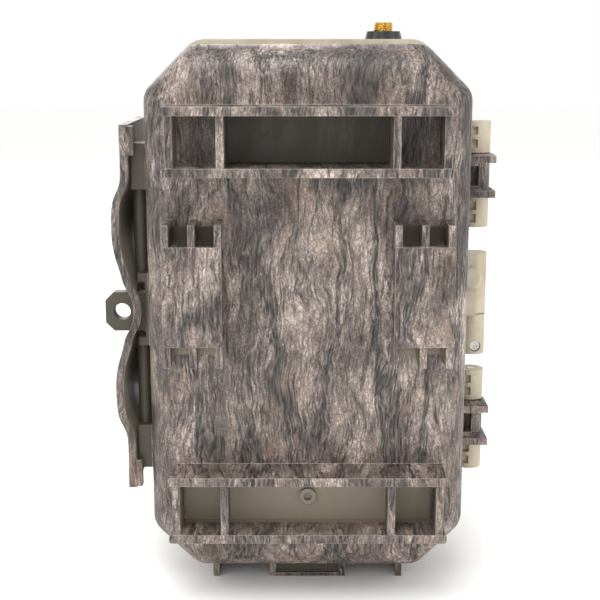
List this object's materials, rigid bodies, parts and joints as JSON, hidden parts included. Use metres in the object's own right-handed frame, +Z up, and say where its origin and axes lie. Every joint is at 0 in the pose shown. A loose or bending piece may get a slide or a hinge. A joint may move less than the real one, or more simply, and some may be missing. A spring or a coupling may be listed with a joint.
{
  "type": "trail camera",
  "caption": "Tree-mounted trail camera: camo rear shell with strap bridges and bracket flanges, hinged front case, side latch lever and antenna connector.",
  "frame": {"origin": "centre of the tripod socket's mouth, on the plane the camera stands on", "axes": "+Z up, +Y towards the tree (the back of the camera), +X towards the latch side"},
  "size_m": [0.1198, 0.082, 0.1733],
  "materials": {
    "camo_shell": "hydro-dipped bark camo film on moulded ABS",
    "beige_plastic": "bare moulded ABS",
    "dark_window": "polished infrared-pass acrylic",
    "lens_glass": "coated glass",
    "black_plastic": "fine moulded texture",
    "fresnel": "translucent polyethylene",
    "board": "green solder mask",
    "steel": "zinc plated",
    "dark_steel": "olive oxide finish",
    "gold": "gold plated brass",
    "brass": "turned brass",
    "rubber": "moulded rubber",
    "display": "unlit display",
    "cell": "printed sleeve",
    "button_grey": "silicone keypad",
    "ir_glass": "filter glass",
    "led_clear": "clear epoxy"
  },
  "bodies": {
    "rear_case": {"rear_shell": "camo_shell", "tripod_insert": "brass", "keeper_bars": "dark_steel", "hinge_pin_upper": "steel", "hinge_pin_lower": "steel", "battery_tray": "black_plastic", "battery_cells_upper": "cell", "battery_cells_lower": "cell", "battery_springs": "steel", "battery_contacts": "steel", "tray_screws": "steel", "conduit_upper": "beige_plastic"},
    "front_case": {"front_cover": "camo_shell", "latch_pins": "steel", "conduit_lower": "beige_plastic", "conduit_screw": "steel", "mid_frame": "beige_plastic", "case_gasket": "rubber", "front_gasket": "rubber", "led_window": "dark_window", "led_board": "board", "ir_leds": "led_clear", "lens_bezel": "black_plastic", "lens_glass": "lens_glass", "lens_barrel": "black_plastic", "camera_module": "black_plastic", "image_sensor": "display", "pir_lens": "fresnel", "pir_sensor": "steel", "light_sensor_window": "dark_window", "status_led": "dark_window", "main_board": "board", "radio_module": "steel", "display_panel": "display", "display_window": "dark_window", "tact_switches": "black_plastic", "mode_switch_body": "steel", "sd_socket": "steel", "sim_socket": "steel", "usb_port": "steel", "dc_jack": "black_plastic", "antenna_collar": "black_plastic", "antenna_connector": "gold", "antenna_nut": "brass", "cover_screws": "steel"},
    "latch_lever": {"latch_lever": "camo_shell"},
    "ir_cut_filter": {"ir_cut_filter": "ir_glass"},
    "mode_switch_knob": {"mode_switch_knob": "black_plastic"},
    "sd_card": {"sd_card": "black_plastic"},
    "dc_plug": {"dc_plug": "rubber"},
    "button_up": {"button_up": "button_grey"},
    "button_down": {"button_down": "button_grey"},
    "button_left": {"button_left": "button_grey"},
    "button_right": {"button_right": "button_grey"},
    "button_ok": {"button_ok": "button_grey"},
    "button_menu": {"button_menu": "button_grey"}
  },
  "joints": [
    {"name": "case_hinge", "type": "hinge", "parent": "rear_case", "child": "front_case", "pos_m": [-0.0535, -0.0163, 0.0863], "axis": [0, 0, -1], "range_deg": [0, 135]},
    {"name": "latch_hinge", "type": "hinge", "parent": "front_case", "child": "latch_lever", "pos_m": [0.0516, -0.036, 0.0873], "axis": [0, 0, -1], "range_deg": [0, 80]},
    {"name": "press_up", "type": "slide", "parent": "front_case", "child": "button_up", "axis": [0, -1, 0], "range_m": [0, 0.0006], "stiffness_N_per_m": 1500},
    {"name": "press_down", "type": "slide", "parent": "front_case", "child": "button_down", "axis": [0, -1, 0], "range_m": [0, 0.0006], "stiffness_N_per_m": 1500},
    {"name": "press_left", "type": "slide", "parent": "front_case", "child": "button_left", "axis": [0, -1, 0], "range_m": [0, 0.0006], "stiffness_N_per_m": 1500},
    {"name": "press_right", "type": "slide", "parent": "front_case", "child": "button_right", "axis": [0, -1, 0], "range_m": [0, 0.0006], "stiffness_N_per_m": 1500},
    {"name": "press_ok", "type": "slide", "parent": "front_case", "child": "button_ok", "axis": [0, -1, 0], "range_m": [0, 0.0006], "stiffness_N_per_m": 1500},
    {"name": "press_menu", "type": "slide", "parent": "front_case", "child": "button_menu", "axis": [0, -1, 0], "range_m": [0, 0.0006], "stiffness_N_per_m": 1500},
    {"name": "mode_slide", "type": "slide", "parent": "front_case", "child": "mode_switch_knob", "axis": [0, 0, 1], "range_m": [-0.004, 0.004]},
    {"name": "filter_shift", "type": "slide", "parent": "front_case", "child": "ir_cut_filter", "axis": [-1, 0, 0], "range_m": [0, 0.008]},
    {"name": "sd_eject", "type": "slide", "parent": "front_case", "child": "sd_card", "axis": [0, 0, 1], "range_m": [0, 0.004]},
    {"name": "dc_plug_pull", "type": "slide", "parent": "front_case", "child": "dc_plug", "axis": [0, 0, -1], "range_m": [0, 0.004]}
  ]
}
